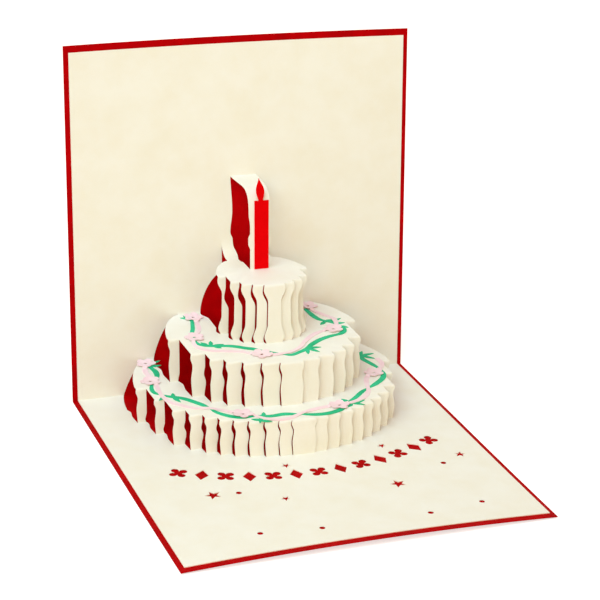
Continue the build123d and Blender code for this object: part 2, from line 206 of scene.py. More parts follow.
print("fold at y", round(fold_y, 3), "mm, sheet surface at z", floor_z, "mm")

# %% [markdown]
# ## From arrays to a piece
# A piece is made once from its points and faces. Panels that meet at a fold share the same points there,
# so merging doubles turns them into one sheet. Solidify gives the paper its thickness, and it is settled
# into the mesh so that the cut edges can be marked sharp by their angle.

# %% Make a piece
merge_reach, sharp_angle = 2e-6, math.radians(38.0)


def grid_faces(rows, columns, start=0):
    """Quads of a grid stored row by row, which face us where columns run right and rows run up."""
    k = start + np.arange(rows * columns).reshape(rows, columns)
    return np.stack([k[:-1, :-1], k[:-1, 1:], k[1:, 1:], k[1:, :-1]], -1).reshape(-1, 4)


def make_piece(name, points, faces, material, slot, thickness=0.0, offset=-1.0, folded=False):
    """Points in mm and a list of faces become a mesh in metres that rides on the card."""
    mesh = bpy.data.meshes.new(name)
    mesh.from_pydata((points / 1000.0).tolist(), [], faces)
    build = bmesh.new()
    build.from_mesh(mesh)
    bmesh.ops.remove_doubles(build, verts=build.verts, dist=merge_reach)
    bmesh.ops.dissolve_degenerate(build, edges=build.edges, dist=1e-7)
    build.to_mesh(mesh)
    build.free()
    piece = bpy.data.objects.new(name, mesh)
    bpy.context.scene.collection.objects.link(piece)
    if thickness:
        solid = piece.modifiers.new("thickness", "SOLIDIFY")
        solid.thickness = thickness / 1000.0
        solid.offset = offset
        solid.use_even_offset = folded
        solid.thickness_clamp = 2.0 if folded else 0.0
        seen = piece.evaluated_get(bpy.context.evaluated_depsgraph_get())
        piece.data = bpy.data.meshes.new_from_object(seen)
        piece.modifiers.clear()
    piece.data.shade_smooth()
    piece.data.set_sharp_from_angle(angle=sharp_angle)
    piece.data.materials.clear()
    piece.data.materials.append(material)
    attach(piece, "root")
    print(name, len(piece.data.vertices), "points", len(piece.data.polygons), "faces")
    return piece


print("a grid of 3 by 3 points has", len(grid_faces(3, 3)), "faces")

# %% [markdown]
# ## Cover
# The cover is one red card, half a millimetre thick, scored once. It could be two boxes, but then the
# spine would be a hard corner. Here a middle line runs from the front edge, round the spine and up the
# back, and the two faces lie half a thickness to either side of it. The thickness shrinks at the outer
# edges, which rounds them as a cutter's pressure does.

# %% Cover
edge_round, edge_row, next_row, spine_gap = 0.12, 0.1, 2.0, 0.5


def cover_surfaces(columns):
    """Inner and outer face as grids of x, y, z: a middle line plus and minus half the thickness."""
    inner_y = fold_y + sheet_step * (1.0 - rise_y)
    half, top = cover_thick / 2, card_panel + sheet_thick
    run = np.concatenate([[0.0, edge_row], np.linspace(next_row, card_panel - spine_gap, 60)])
    front = fold_y - card_panel
    base_y = front + run * (inner_y - front) / card_panel
    turn = np.linspace(-math.pi / 2, lean - math.pi / 2, 9)
    climb = np.concatenate([np.linspace(spine_gap, top - next_row, 60), [top - edge_row, top]])
    zero = np.zeros_like
    y = np.concatenate([base_y, inner_y + half * np.cos(turn), inner_y + climb * rise_y + half * rise_z])
    z = np.concatenate([zero(run) + half, cover_thick + half * np.sin(turn),
                        cover_thick + climb * rise_z - half * rise_y])
    normal_y = np.concatenate([zero(run), -np.cos(turn), zero(climb) - rise_z])
    normal_z = np.concatenate([zero(run) + 1.0, -np.sin(turn), zero(climb) + rise_y])
    along = np.full(len(y), half)
    along[[0, -1]] = half - edge_round
    beside = np.full(len(columns), half)
    beside[[0, -1]] = half - edge_round
    thick = np.minimum(along[:, None], beside[None, :])
    x = np.broadcast_to(columns, thick.shape)
    faces = []
    for side in (1.0, -1.0):
        yy = y[:, None] + side * thick * normal_y[:, None]
        zz = z[:, None] + side * thick * normal_z[:, None]
        yy = yy + bow(x, 0.0 * x, np.where(yy > inner_y - 1.0, (zz - floor_z) / rise_z, 0.0))
        faces.append(np.stack([x, yy, zz + lift(x, fold_y - yy)], -1))
    return faces


def slab(inner, outer):
    """Points and faces of two grids joined around their rims."""
    rows, columns = inner.shape[:2]
    count = rows * columns
    k = np.arange(count).reshape(rows, columns)
    rim = np.concatenate([k[0, :], k[1:, -1], k[-1, -2::-1], k[-2:0:-1, 0]])
    after = np.roll(rim, -1)
    sides = np.stack([rim, rim + count, after + count, after], -1)
    faces = np.vstack([grid_faces(rows, columns), grid_faces(rows, columns, count)[:, ::-1], sides])
    return np.vstack([inner.reshape(-1, 3), outer.reshape(-1, 3)]), faces.tolist()


edge = card_width / 2
columns = np.concatenate([[-edge, edge_row - edge], np.linspace(next_row - edge, edge - next_row, 49),
                          [edge - edge_row, edge]])
cover = make_piece("red_cover", *slab(*cover_surfaces(columns)), satin_card, "red_card")
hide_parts("cover_card")

# %% [markdown]
# ## The cake on the flat sheet
# A strip of the cake is the paper between two waved cuts. Each cut is one line on the flat sheet, so it
# gives an edge to the strip on its left, to the strip on its right and to the openings in the panels at
# both ends. That is why the cut is a function of the flat place, which is height minus depth. A table
# gives each strip the distance of its outer cut from the middle line and its depth in front of the fold.

# %% One ring of strips
cake_offset, shoulder_power, slot_width = 1.0, 1.6, 0.2
low_swing = ((0.0, 0.0), (0.4, -0.42), (0.72, 0.18), (0.92, -0.65), (1.12, -0.1))
tall_swing = ((0.0, 0.0), (0.1, -0.75), (0.32, 0.65), (0.7, 0.8), (0.92, -1.05), (1.12, -0.35))
lower_strips = ((56.3, 27.8), (52.2, 40.0), (48.2, 51.8), (43.0, 57.7), (37.8, 62.0), (32.8, 65.5),
                (27.6, 68.1), (22.0, 70.1), (15.8, 71.7), (10.1, 72.7), (4.8, 73.3))
middle_strips = ((41.2, 24.6), (36.8, 41.1), (31.0, 48.3), (25.6, 52.8), (19.2, 55.9), (12.0, 57.9),
                 (4.6, 59.2))
upper_strips = ((18.9, 24.0), (15.9, 31.2), (12.4, 35.1), (8.2, 37.2), (3.7, 38.4))
fold_soft, belly_most, cut_step = 1.1, 0.5, 0.5


def eased(table, share):
    """Half cosine steps through a table: first plus (second minus first) times (1 minus cos of pi t) over 2."""
    keys, values = np.array(table).T
    share = np.clip(share, keys[0], keys[-1])
    k = np.clip(np.searchsorted(keys, share, side="right") - 1, 0, len(keys) - 2)
    t = (share - keys[k]) / (keys[k + 1] - keys[k])
    return values[k] + (values[k + 1] - values[k]) * (1.0 - np.cos(np.pi * t)) / 2


class Ring:
    """One tier of the cake: where its cuts lie from the middle line and how deep each strip stands.

    Bend is the size of the curl where its top meets the back panel, below that of the tier under it."""

    def __init__(self, bottom, rise, strips, half_hinge, neck, swing, below, bend):
        self.below, self.bend = below, bend
        self.bottom, self.rise, self.top = bottom, rise, bottom + rise
        self.half_hinge, self.neck, self.swing = half_hinge, neck, swing
        self.cuts, self.depths = np.array(strips).T
        self.last = len(strips) - 1

    def shoulder(self, depth):
        """Half width of the round top behind its outermost strips, a superellipse from hinge to full width."""
        wide = self.cuts[0] - eased(self.swing, 1.0)
        share = np.clip((depth - self.neck) / (self.depths[0] - self.neck), 0.0, 1.0)
        rounded = (1.0 - (1.0 - share) ** shoulder_power) ** (1.0 / shoulder_power)
        return self.half_hinge + (wide - self.half_hinge) * rounded

    def cut(self, index, flat):
        """Distance of a cut from the middle line at a flat place: its own distance minus its swing."""
        share = (flat + self.depths[index] - self.bottom) / self.rise
        waved = self.cuts[index] - eased(self.swing, share)
        return np.where(share > 1.0, self.shoulder(self.top - flat), waved) if index == 0 else waved

    def strip(self, index, side, belly=0.0):
        """Grid of across, depth, height: up the strip, then round its top fold on a quadratic curve.

        The fold is soft at the strip's free edge and crisp where the cut ends. Side is -1, 0 or 1 for a
        strip on the left, the middle one, or one on the right. The belly bows it forwards in mm."""
        share = np.linspace(0.0, 1.0, 9)[None, :]
        inward = {-1: share, 0: 0.0 * share, 1: 1.0 - share}[side]
        soft = fold_soft * (1.0 - inward ** 4)
        t = np.linspace(0.0, 1.0, max(24, round(self.rise / cut_step)))[:, None]
        w = np.linspace(0.0, 1.0, 7)[1:, None]
        height = np.vstack([self.bottom + t * (self.rise - soft), self.top - soft * (1.0 - w) ** 2])
        depth = self.depths[index] - np.vstack([0.0 * t * soft, soft * w ** 2])
        outer = self.cut(index, height - depth) - slot_width / 2
        inner = -outer if side == 0 else self.cut(index + 1, height - depth) + slot_width / 2
        first, last = (inner, outer) if side > 0 else (-outer, -inner)
        across = cake_offset + first * (1.0 - share) + last * share
        bowed = np.vstack([np.sin(np.pi * t) ** 2 + 0.0 * soft, 0.0 * w * soft])
        return np.stack([across, depth + belly * bowed, height], -1)

    def strips(self, seed):
        """All strips from left to right, each bowed forwards by a small amount from a seeded generator."""
        belly = np.random.default_rng(seed).uniform(0.0, belly_most, (2, self.last + 1))
        left = [self.strip(k, -1, belly[0, k]) for k in range(self.last)]
        right = [self.strip(k, 1, belly[1, k]) for k in reversed(range(self.last))]
        return left + [self.strip(self.last, 0, belly[0, -1])] + right

    def top_edge(self):
        """Outer edge of the round top, from its left hinge to its right one, as across and depth."""
        depth = np.linspace(self.bend, self.depths[0] - fold_soft, 40)
        left = [np.column_stack([cake_offset - self.shoulder(depth), depth])]
        left = np.vstack(left + [self.strip(k, -1)[-1, :, :2] for k in range(self.last)])
        return np.vstack([left, self.strip(self.last, 0)[-1, :, :2], mirrored(left)])

    def foot_edge(self):
        """Edge of the opening under the strips: a cut in the level panel, a strip's foot, and so on."""
        runs, start = [], self.below
        for k, stop in enumerate(self.depths):
            depth = np.linspace(start, stop, max(3, round((stop - start) / cut_step)))
            runs.append(np.column_stack([cake_offset - self.cut(k, self.bottom - depth), depth]))
            runs.append(self.strip(k, -1 if k < self.last else 0)[0, :, :2])
            start = stop
        left = np.vstack(runs[:-1])
        return np.vstack([left, runs[-1], mirrored(left)])

    def wall_edge(self):
        """Left edge of the opening in the back panel, as across and height."""
        height = np.linspace(self.bottom + self.below, self.top + self.bend, 40)
        return np.column_stack([cake_offset - self.cut(0, height), height])

    def hinge(self, inner, side):
        """Grid of across, depth, height where the round top curves up into the back panel on a quadratic curve.

        Inner gives the half width of the opening inside it at a flat place."""
        w = np.linspace(0.0, 1.0, 9)[:, None]
        share = np.linspace(0.0, 1.0, 6)[None, :]
        depth = self.bend * (1.0 - w) ** 2 + 0.0 * share
        height = self.top + self.bend * w ** 2 + 0.0 * share
        wide, narrow = self.cut(0, height - depth), inner(height - depth)
        across = -wide + (wide - narrow) * share if side < 0 else narrow + (wide - narrow) * share
        return np.stack([cake_offset + across, depth, height], -1)


def mirrored(edge):
    """The same edge on the other side of the cake's middle line, in the other direction."""
    return np.column_stack([2.0 * cake_offset - edge[::-1, 0], edge[::-1, 1]])


lower = Ring(bottom=0.0, rise=14.7, strips=lower_strips, half_hinge=44.0, neck=0.0,
             swing=low_swing, below=0.0, bend=1.5)
middle = Ring(bottom=lower.top, rise=18.2, strips=middle_strips, half_hinge=30.0, neck=0.0,
              swing=low_swing, below=lower.bend, bend=2.0)
upper = Ring(bottom=middle.top, rise=24.9, strips=upper_strips, half_hinge=9.8, neck=7.6,
             swing=tall_swing, below=middle.bend, bend=6.8)
print("strips", [2 * ring.last + 1 for ring in (lower, middle, upper)])

# %% [markdown]
# ## The candle's upright
# The upright is a narrow tongue that rises from the upper cake top and returns to the back panel as a
# strap. On the real card the top of it is not creased but bent over, so the curve is larger there.

# %% Upright and strap
upright_depth, strap_top, strap_bend = 19.7, upper.top + 33.7, 8.0
upright_edge = ((0.0, 4.0), (0.25, 4.0), (0.32, 4.8), (0.4, 4.8), (0.46, 4.0), (0.53, 4.0), (0.72, 4.65),
                (1.0, 4.7), (1.6, 5.65))
window_edge = ((0.53, 4.0), (0.7, 4.85), (0.77, 4.9), (0.86, 5.9), (1.15, 4.95), (1.6, 5.65))


def tongue_share(flat):
    """Share of the tongue's height at a flat place: 0 at the cake top and 1 at the height of the strap."""
    return (flat + upright_depth - upper.top) / (strap_top - upper.top)


def upright_half(flat):
    """Half width of the tongue at a flat place, from its table."""
    return eased(upright_edge, tongue_share(flat))


def window_half(flat):
    """Half width of the opening in the back panel, from its table. The tongue lacks the bulge in it."""
    return eased(window_edge, tongue_share(flat))


def upright_strip():
    """Grid of across, depth, height: straight up, over a quadratic bend and back to the panel."""
    t = np.linspace(0.0, 1.0, 60)
    w = np.linspace(0.0, 1.0, 16)[1:]
    b = np.linspace(0.0, 1.0, 24)[1:]
    height = np.concatenate([upper.top + t * (strap_top - strap_bend - upper.top),
                             strap_top - strap_bend * (1.0 - w) ** 2, 0.0 * b + strap_top])
    depth = np.concatenate([0.0 * t + upright_depth, upright_depth - strap_bend * w ** 2,
                            (upright_depth - strap_bend) * (1.0 - b)])
    share = np.linspace(-1.0, 1.0, 11)
    across = cake_offset + upright_half(height - depth)[:, None] * share
    return np.stack([across, np.broadcast_to(depth[:, None], across.shape),
                     np.broadcast_to(height[:, None], across.shape)], -1)


def slot_half(flat):
    """Half width of the opening at the upper hinge: the tongue's in front of the fold, the window's above."""
    return np.where(flat > upper.top, window_half(flat), upright_half(flat))


tongue = upright_strip()
depth = np.linspace(upper.bend, upright_depth, 40)
slot_left = np.column_stack([cake_offset - upright_half(upper.top - depth), depth])
slot_edge = np.vstack([slot_left, tongue[0, :, :2], mirrored(slot_left)])
print("tongue", tongue.shape, "strap at", strap_top, "mm")

# %% [markdown]
# ## Flat panels
# A grid can't follow a panel whose outline is all steps and waves, or one with stars in it. A panel is
# cut the way a plotter cuts it: outlines and holes are drawn as rings of points, and Blender's Delaunay
# routine fills what is inside an outline and outside every hole. Extra points on a lattice let a panel bend.

# %% Cut a flat panel
def inside(ring, points):
    """True where a ray to the right of a point crosses the ring an odd number of times."""
    x, y = points.T[:, :, None]
    (x0, y0), (x1, y1) = ring.T[:, None, :], np.roll(ring, -1, 0).T[:, None, :]
    spans = (y0 > y) != (y1 > y)
    level = np.where(y1 == y0, 1.0, y1 - y0)
    return (spans & (x < x0 + (x1 - x0) * (y - y0) / level)).sum(1) % 2 == 1


def cut_paper(outlines, holes=(), spacing=None):
    """Flat points and triangles of everything inside any outline and outside all holes."""
    rings = [np.asarray(ring, float) for ring in (*outlines, *holes)]
    rings = [ring[np.hypot(*(ring - np.roll(ring, 1, 0)).T) > 1e-4] for ring in rings]
    outlines, holes = rings[:len(outlines)], rings[len(outlines):]
    starts = np.cumsum([0] + [len(ring) for ring in rings])
    edges = np.vstack([np.column_stack([np.arange(a, b), np.roll(np.arange(a, b), -1)])
                       for a, b in zip(starts, starts[1:])])
    points = np.vstack(rings)
    if spacing:
        low, high = points.min(0), points.max(0)
        steps = [np.arange(a + spacing / 2, b, spacing) for a, b in zip(low, high)]
        lattice = np.stack(np.meshgrid(*steps), -1).reshape(-1, 2)
        points = np.vstack([points, lattice[np.any([inside(ring, lattice) for ring in outlines], 0)]])
    found = delaunay_2d_cdt(points.tolist(), edges.tolist(), [], 0, 1e-5, False)
    flat, faces = np.array([tuple(v) for v in found[0]]), np.array(found[2])
    centres = flat[faces].mean(1)
    kept = np.any([inside(ring, centres) for ring in outlines], 0)
    for ring in holes:
        kept &= ~inside(ring, centres)
    used, faces = np.unique(faces[kept], return_inverse=True)
    return flat[used], faces.reshape(-1, 3)


square = cut_paper([[(0, 0), (9, 0), (9, 9), (0, 9)]], [[(3, 3), (6, 3), (6, 6), (3, 6)]])
print("test square with a hole:", len(square[1]), "triangles")

# %% [markdown]
# ## Pierced pattern
# The base panel is pierced with an arched row of ornaments, some stars and some dots, and the red cover
# shows through them. They are plain rings of points, so they only need an outline each. A star has its
# place across, its depth, its reach and its turn in degrees, and a dot has its place across and its depth.

# %% Pierced pattern
def blossom(x, y, size, petals, turn, hollow, count=72):
    """Ring whose reach swings between hollow times size and size, once for each petal."""
    a = np.linspace(0.0, 2.0 * np.pi, count, endpoint=False)
    reach = size * (hollow + (1.0 - hollow) * np.abs(np.cos(petals * a / 2)) ** 0.7)
    return np.column_stack([x + reach * np.cos(a + turn), y + reach * np.sin(a + turn)])


def spoked(x, y, reaches, turn):
    """Ring of straight lines through points at the given reaches, evenly spaced around a centre."""
    a = turn + 2.0 * np.pi * np.arange(len(reaches)) / len(reaches)
    return np.column_stack([x + np.array(reaches) * np.cos(a), y + np.array(reaches) * np.sin(a)])


arc_radius, arc_front, arc_half_angle, arc_count = 110.0, 89.5, 29.3, 13
blossom_reach, blossom_hollow, lozenge_reaches = 4.0, 0.4, (2.8, 4.3, 2.8, 4.3)
star_hollow, dot_radius = 0.42, 1.15
pierced = []
for k, turn in enumerate(np.radians(np.linspace(-arc_half_angle, arc_half_angle, arc_count))):
    x = cake_offset + arc_radius * math.sin(turn)
    y = arc_radius - arc_front - arc_radius * math.cos(turn)
    pierced.append(blossom(x, y, blossom_reach, 4, turn + math.pi / 4, blossom_hollow) if k % 2 == 0
                   else spoked(x, y, lozenge_reaches, turn))
stars = ((-45.6, 97.1, 3.6, 12), (27.0, 108.4, 3.6, 12), (61.9, 90.9, 2.6, -20),
         (-9.8, 81.0, 2.1, 25), (-19.9, 107.8, 2.1, 25), (34.1, 74.9, 2.1, 25))
pierced += [spoked(x, -d, (size, star_hollow * size) * 5, math.radians(90 + turn))
            for x, d, size, turn in stars]
dots = ((-35.5, 98.1), (52.0, 96.3), (28.5, 135.7), (-15.7, 135.5), (51.9, 132.0), (-39.1, 132.3))
pierced += [spoked(x, -d, (dot_radius,) * 32, 0.0) for x, d in dots]
print(len(pierced), "pierced ornaments")

# %% [markdown]
# ## Garland lines
# Two ribbons of thin paper wander around each of the two wider tops and cross many times. A wave could be
# written as a cosine, but the real ones are drawn by hand, so each is a smooth line through a table of angles
# around the cake and distances from its centre. They are needed before the sheet is cut, because the eyes of
# the pink flowers are pierced through the flower and the cake top together.

# %% Garland lines
cake_centre_depth, eye_radius, apart_most = 17.5, 0.7, 4.0
lower_pink = ((8, 52.4), (13, 53.4), (19, 52.4), (25, 49.5), (30, 47.2), (38, 48.0), (48, 52.0), (55, 53.1),
              (62, 52.4), (69, 50.8), (75, 48.8), (82, 48.7), (88, 50.0), (96, 53.6), (101, 54.2), (106, 53.6),
              (112, 50.5), (118, 49.6), (129, 48.7), (134, 49.6), (139, 52.0), (145, 53.0), (151, 53.8),
              (158, 52.3), (168, 48.8), (175, 47.8), (187, 48.3), (196, 47.4))
lower_green = ((3, 46.0), (8, 46.2), (15, 49.2), (22, 52.6), (29, 53.7), (37, 52.1), (47.6, 49.7), (57, 50.4),
               (64, 51.4), (70, 53.9), (77, 54.4), (83, 53.4), (90, 50.9), (97, 49.5), (104, 50.9), (110, 50.9),
               (116, 53.0), (122, 53.0), (129, 51.1), (135, 48.2), (143, 47.1), (150, 47.6), (157, 50.8),
               (162, 52.8), (166, 52.2), (171, 49.8), (178, 45.2), (185, 44.1), (191, 45.4), (195, 47.0))
lower_flowers = ((25.2, 49.5), (68.8, 50.9), (116.4, 50.0), (174.4, 49.2), (196, 47.4))
lower_leaves = ((-44.2, 5.6, -37.6, 2.6), (-43.8, 7.6, -38.6, 7.4), (-45.8, 37.3, -49.9, 40.9),
                (-43.4, 39.4, -42.4, 35.6), (-43.6, 39.4, -41.8, 44.8), (-14.0, 66.4, -12.6, 62.8),
                (-14.6, 66.2, -17.6, 72.0), (-16.2, 69.4, -19.6, 67.6), (-16.6, 69.8, -12.2, 71.8),
                (24.4, 63.2, 29.8, 67.2), (25.6, 64.6, 31.6, 62.8), (25.4, 64.4, 22.2, 67.4),
                (24.4, 62.8, 22.4, 59.4), (46.9, 19.8, 52.3, 25.0), (47.2, 20.2, 53.8, 19.3),
                (46.9, 20.0, 49.8, 15.8))
upper_pink = ((-25, 30.6), (-21, 29.6), (-14.6, 29.2), (-8.5, 29.9), (-3, 31.1), (4, 33.1), (14, 33.5),
              (21, 32.8), (27, 30.2), (35, 26.6), (48, 25.1), (62, 26.3), (72, 29.1), (80, 31.0), (87, 32.2),
              (95, 32.9), (107, 32.5), (115, 31.8), (122, 31.0), (133, 32.9), (143, 35.9), (151, 36.8),
              (158, 35.2), (166, 31.3), (171, 28.8), (178, 26.5), (186, 25.5), (198, 25.8), (208, 27.6))
upper_green = ((-22, 27.3), (-13, 26.3), (-3, 26.1), (5, 27.1), (9, 29.0), (14, 32.4), (20, 35.4), (27, 36.6),
               (33, 35.5), (37, 33.3), (43.5, 31.1), (52, 29.9), (63, 30.4), (71, 32.2), (79, 33.5), (87, 34.6),
               (94, 32.0), (100, 30.3), (107, 28.8), (113, 27.2), (120, 26.9), (128, 26.7), (136, 27.6),
               (143, 30.2), (150, 33.0), (156, 34.0), (163, 32.6), (174, 30.3), (184, 28.2), (198, 27.6),
               (206, 28.6))
upper_flowers = ((-25, 30.6), (25.6, 32.1), (106.7, 32.5), (165.8, 31.5), (208, 27.6))
upper_leaves = ((-24.8, 5.2, -28.8, 3.2), (-24.8, 5.0, -27.0, 1.4), (-25.4, 34.6, -24.2, 30.0),
                (-25.2, 35.0, -19.8, 34.6), (-24.6, 35.6, -22.0, 38.2), (-26.6, 34.2, -28.6, 30.4),
                (12.4, 47.2, 18.0, 47.8), (12.2, 47.6, 15.6, 52.4), (11.8, 47.8, 10.2, 53.2),
                (29.8, 22.2, 33.4, 21.6), (29.8, 22.6, 26.2, 25.6), (31.4, 24.0, 37.6, 20.9),
                (32.6, 25.8, 37.4, 25.9), (34.0, 28.8, 36.8, 31.4))


def smooth(table, key):
    """Cubic through a table: each piece is fixed by its two values and by slopes taken from the neighbours."""
    keys, values = np.array(table, float).T
    slope = np.empty_like(values)
    slope[1:-1] = (values[2:] - values[:-2]) / (keys[2:] - keys[:-2])
    slope[[0, -1]] = (np.diff(values) / np.diff(keys))[[0, -1]]
    key = np.clip(key, keys[0], keys[-1])
    k = np.clip(np.searchsorted(keys, key, side="right") - 1, 0, len(keys) - 2)
    run = keys[k + 1] - keys[k]
    t = (key - keys[k]) / run
    return ((1 + 2 * t) * (1 - t) ** 2 * values[k] + t * (1 - t) ** 2 * run * slope[k]
            + t ** 2 * (3 - 2 * t) * values[k + 1] + t ** 2 * (t - 1) * run * slope[k + 1])


def around(angle, reach):
    """Across and minus depth at an angle around the cake and a distance from its centre."""
    a = np.radians(angle)
    return np.stack([cake_offset + reach * np.cos(a), -cake_centre_depth - reach * np.sin(a)], -1)


def ribbon(line, other, width, thinnest):
    """Outline of a ribbon: full width where the two lines are well apart, thinner towards a crossing."""
    angle = np.linspace(line[0][0], line[-1][0], 300)
    reach = smooth(line, angle)
    apart = np.clip(np.abs(reach - smooth(other, angle)) / apart_most, 0.0, 1.0)
    half = width / 2 * (thinnest + (1.0 - thinnest) * apart)
    return np.vstack([around(angle, reach + half), around(angle, reach - half)[::-1]])


lower_eyes, upper_eyes = ([spoked(*around(*place), (eye_radius,) * 20, 0.0) for place in flowers]
                          for flowers in (lower_flowers, upper_flowers))
print(len(lower_eyes) + len(upper_eyes), "flowers")

# %% [markdown]
# ## Level panels of the cream sheet
# Now all panels come together. Level panels are drawn as across and minus depth, upright ones as across
# and height. The strips and hinges are grids, the rest is cut from outlines, and both hold the same points
# along every fold, so one merge can join them into a single sheet.

# %% Base, cake tops and hinges
side_border, end_border, sheet_shift, panel_spacing = 2.1, 2.8, 0.1, 6.0
sheet_half, sheet_panel = card_width / 2 - side_border, card_panel - end_border
left_x, right_x = sheet_shift - sheet_half, sheet_shift + sheet_half
patches = []


def lay_level(outline, height, holes=(), spacing=None):
    """Adds a level panel from its outline of across and depth."""
    flat, faces = cut_paper([outline * (1.0, -1.0)], holes, spacing)
    patches.append((np.column_stack([flat[:, 0], -flat[:, 1], np.full(len(flat), height)]), faces))


def lay_grid(grid):
    """Adds a grid of across, depth and height as a patch of quads."""
    patches.append((grid.reshape(-1, 3), grid_faces(*grid.shape[:2])))


side_up = np.linspace(0.0, sheet_panel, 40)
top_run = np.linspace(right_x, left_x, 50)
lining = np.vstack([np.column_stack([np.full(40, left_x), side_up]),
                    np.column_stack([top_run[::-1], np.full(50, sheet_panel)]),
                    np.column_stack([np.full(40, right_x), side_up[::-1]])])
lay_level(np.vstack([lining, lower.foot_edge()[::-1]]), 0.0, pierced, panel_spacing)
rings = ((lower, lambda flat: middle.cut(0, flat), middle.foot_edge(), lower_eyes),
         (middle, lambda flat: upper.cut(0, flat), upper.foot_edge(), upper_eyes),
         (upper, slot_half, slot_edge, ()))
window = []
for ring, inner, opening, eyes in rings:
    left, right = ring.hinge(inner, -1), ring.hinge(inner, 1)
    rim = np.vstack([ring.top_edge(), right[0, ::-1, :2], opening[::-1], left[0, ::-1, :2]])
    lay_level(rim, ring.top, eyes)
    for grid in (left, right):
        lay_grid(grid)
    window += [ring.wall_edge(), left[-1][:, [0, 2]]]
print(len(patches), "level panels and hinges")

# %% [markdown]
# ## Back panel and strips
# The back panel has one large opening, whose left edge climbs past all three tiers to the strap. The right
# edge is its mirror image. With the strips and the tongue in place, everything is folded up at once.

# %% Back panel, strips and the finished sheet
height = np.linspace(upper.top + upper.bend, strap_top, 40)
window = np.vstack(window + [np.column_stack([cake_offset - window_half(height), height])])
outline = np.vstack([[(left_x, 0.0)], window, tongue[-1][:, [0, 2]], mirrored(window), lining[::-1]])
flat, faces = cut_paper([outline], (), panel_spacing)
patches.append((np.column_stack([flat[:, 0], np.zeros(len(flat)), flat[:, 1]]), faces))

for grid in lower.strips(1) + middle.strips(2) + upper.strips(3) + [tongue]:
    lay_grid(grid)

starts = np.cumsum([0] + [len(points) for points, faces in patches])
sheet_faces = [face for start, (points, faces) in zip(starts, patches) for face in (faces + start).tolist()]
sheet = make_piece("cream_cake_sheet", fold_up(np.vstack([points for points, faces in patches])),
                   sheet_faces, pearl_paper, "cream_paper", sheet_thick, folded=True)
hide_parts("cake_sheet")

# %% [markdown]
# ## Candle
# The candle and its flame are one cut of red paper, glued flat to the front of the upright. The flame
# leans to the left and narrows to a neck, so its outline is a middle line with a half width.

# %% Candle
candle_shift, candle_gap, candle_half, bar_rise, candle_spacing = 0.9, 0.1, 3.1, 29.2, 2.0
neck_half, flame_half, flame_rise, flame_shift, flame_lean = 0.9, 1.5, 9.6, 0.4, 0.85


def candle_outline():
    """Ring of across and height: a plain bar, and a flame whose half width is a sine above a neck."""
    x, foot = cake_offset + candle_shift, upper.top + candle_gap
    left, right, top = x - candle_half, x + candle_half, foot + bar_rise
    share = np.linspace(0.0, 1.0, 40)
    half = neck_half * (1.0 - share) ** 2 + flame_half * np.sin(np.pi * share ** 0.9).clip(0.0) ** 1.3
    line = x - flame_shift - flame_lean * share ** 1.5
    rise = top + flame_rise * share
    flame = np.vstack([np.column_stack([line + half, rise]), np.column_stack([line - half, rise])[::-1]])
    return np.vstack([flame, [(left, top), (left, foot), (right, foot), (right, top)]])


flat, faces = cut_paper([candle_outline()], (), candle_spacing)
front = np.full(len(flat), upright_depth + sheet_step)
candle = make_piece("paper_candle", fold_up(np.column_stack([flat[:, 0], front, flat[:, 1]])), faces.tolist(),
                    candle_paper, "bright_red_paper", sheet_thick)
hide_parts("candle")

# %% [markdown]
# ## Garlands
# Each ribbon and its leaves or flowers are one cut of thin paper. The green one lies on the cake top. The
# pink one is glued over it, so it climbs over the green wherever the green is under it, and the petals of
# its flowers lift off the paper at their tips. That lift is what makes them read as paper and not as print.
# Close to the back panel both follow the curve of the cake top.

# %% Garlands
garland_thick, garland_spacing, leaf_width = 0.2, 0.6, 1.8
green_width, green_thinnest, pink_width, pink_thinnest = 2.4, 0.35, 2.2, 0.8
petal_reach, petal_hollow, petal_start, petal_lift = 4.3, 0.62, 1.2, 0.5
climb_near, climb_run = 0.5, 1.5


def leaf(x, depth, tip_x, tip_depth):
    """Pointed ring from a point to its tip: half width is a sine of the way along, fuller near the start."""
    share = np.linspace(0.0, 1.0, 14)
    start, way = np.array([x, -depth]), np.array([tip_x - x, depth - tip_depth])
    beside = np.array([-way[1], way[0]]) / np.hypot(*way)
    half = leaf_width / 2 * np.sin(np.pi * share ** 0.8).clip(0.0)
    line = start + share[:, None] * way
    return np.vstack([line + half[:, None] * beside, (line - half[:, None] * beside)[-2:0:-1]])


def nearest(points, others):
    """Distance from each point to the nearest of the others."""
    return np.sqrt(((points[:, None, :] - others[None, :, :]) ** 2).sum(-1).min(1))


def glue_down(name, tier, flat, faces, raised, material, slot):
    """A flat cut laid on a cake top: raised is the height of its underside above the top, in mm."""
    depth = -flat[:, 1]
    curl = tier.bend * (1.0 - np.sqrt(np.clip(depth / tier.bend, 0.0, 1.0))) ** 2
    points = fold_up(np.column_stack([flat[:, 0], depth, tier.top + curl]))
    points[:, 2] += raised
    return make_piece(name, points, faces.tolist(), material, slot, garland_thick, 1.0)


